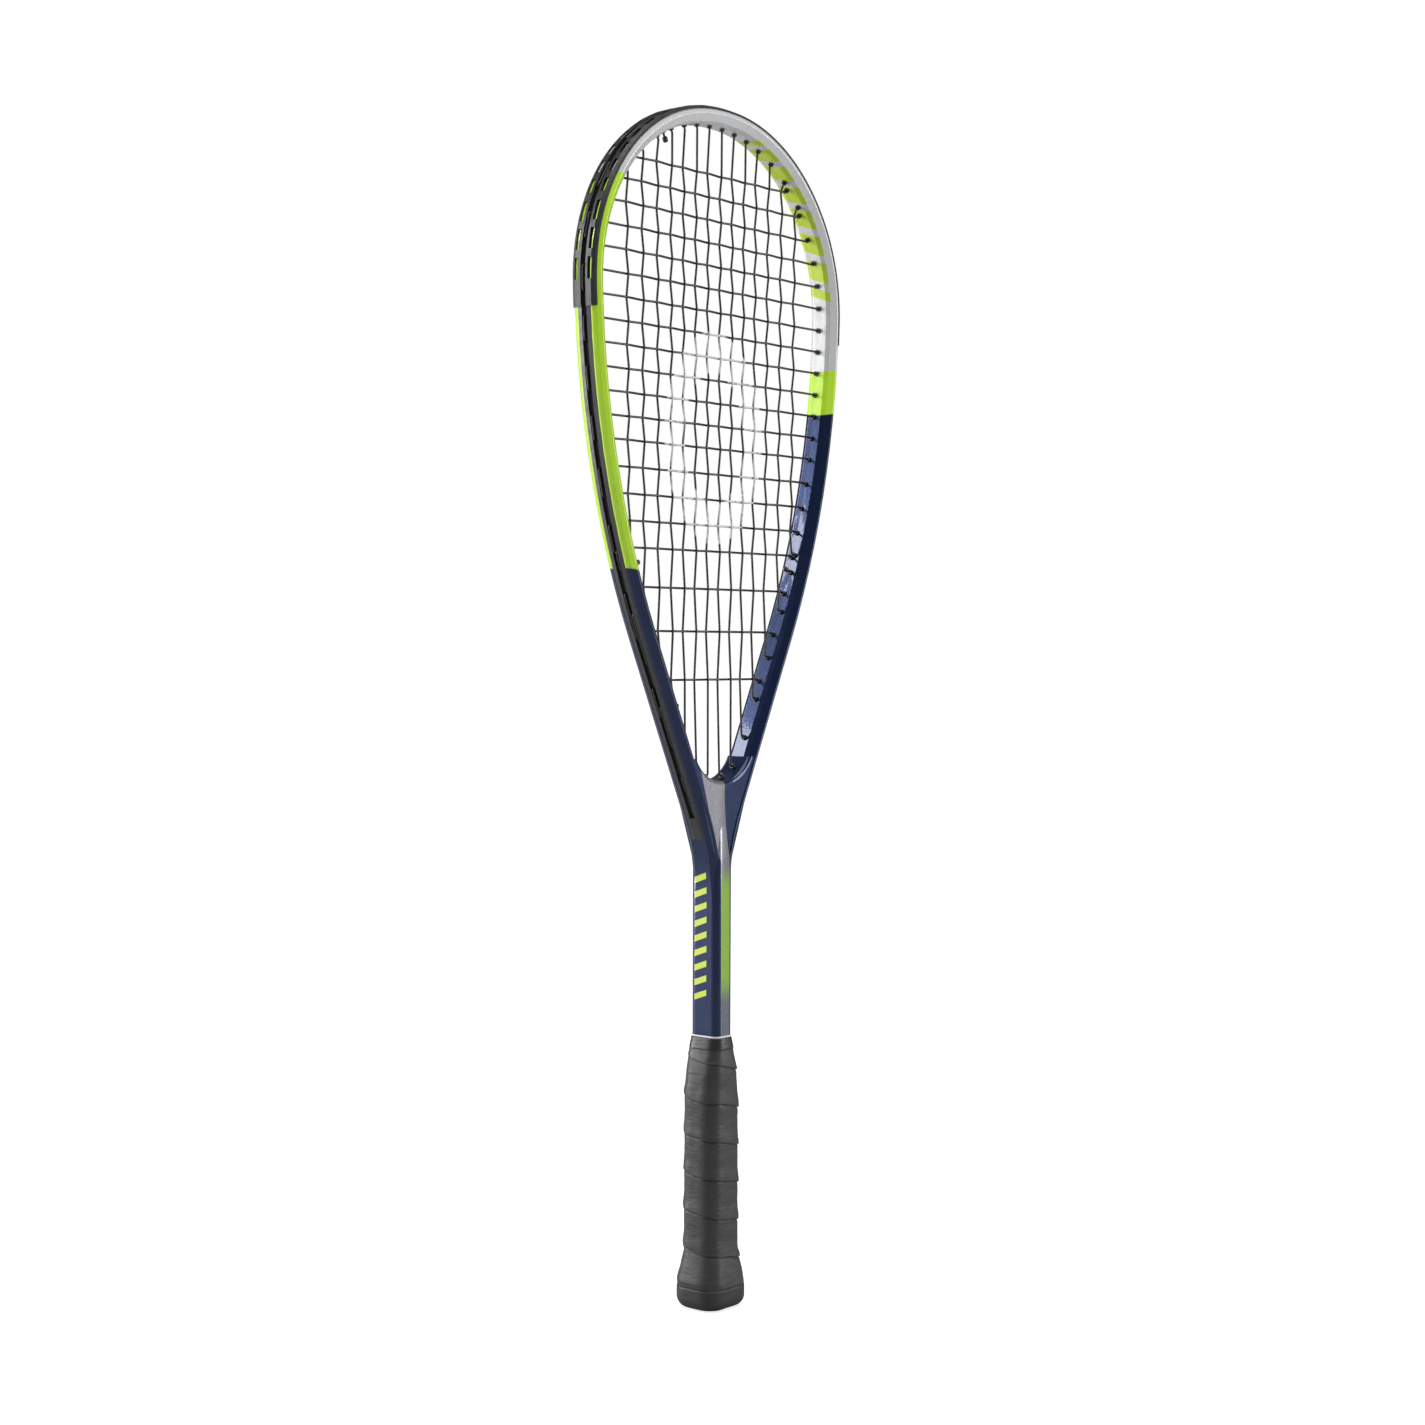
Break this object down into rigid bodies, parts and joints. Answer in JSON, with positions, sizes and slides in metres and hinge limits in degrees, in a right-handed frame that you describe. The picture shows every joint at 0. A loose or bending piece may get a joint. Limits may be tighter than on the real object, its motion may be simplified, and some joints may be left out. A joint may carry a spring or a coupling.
{
  "type": "squash racket",
  "caption": "Squash racket with an open-throat teardrop head, woven string bed, bumper guard and grommet strips, a slim shaft and a wrapped handle with a flared butt cap.",
  "frame": {"origin": "Centre of the flat bottom of the butt cap, at the bottom centre of the bounding box.", "axes": "+Z runs along the racket from butt to head, X runs across the face, and Y is square to the string bed, with -Y the face seen in the picture."},
  "size_m": [0.203, 0.0312, 0.635],
  "materials": {
    "lacquer": "clear-lacquered composite: bright metallic silver over the top of the hoop and the throat, neon yellow-green shoulders on the left, deep metallic navy legs and shaft, with soft fades between",
    "guard_nylon": "satin black moulded nylon",
    "strip_nylon": "satin black moulded nylon",
    "string": "black multifilament string with a thin glossy coat",
    "core_foam": "plain moulded core, out of sight",
    "grip": "black polyurethane replacement grip with fine creases",
    "tape": "black finishing tape",
    "pale_tape": "thin white edging",
    "cap_rubber": "matte black moulded rubber-like plastic"
  },
  "bodies": {
    "root": {"frame": "lacquer", "bumper_guard": "guard_nylon", "grommet_strip_left": "strip_nylon", "grommet_strip_right": "strip_nylon", "main_string_01": "string", "main_string_02": "string", "main_string_03": "string", "main_string_04": "string", "main_string_05": "string", "main_string_06": "string", "main_string_07": "string", "main_string_08": "string", "main_string_09": "string", "main_string_10": "string", "main_string_11": "string", "main_string_12": "string", "main_string_13": "string", "main_string_14": "string", "cross_string_01": "string", "cross_string_02": "string", "cross_string_03": "string", "cross_string_04": "string", "cross_string_05": "string", "cross_string_06": "string", "cross_string_07": "string", "cross_string_08": "string", "cross_string_09": "string", "cross_string_10": "string", "cross_string_11": "string", "cross_string_12": "string", "cross_string_13": "string", "cross_string_14": "string", "cross_string_15": "string", "cross_string_16": "string", "cross_string_17": "string", "cross_string_18": "string", "cross_string_19": "string", "cross_string_20": "string", "tie_off_knots": "string", "handle_pallet": "core_foam", "grip_wrap": "grip", "finishing_tape": "tape", "edge_tape": "pale_tape", "butt_cap": "cap_rubber", "shaft_plug": "core_foam"}
  },
  "joints": []
}
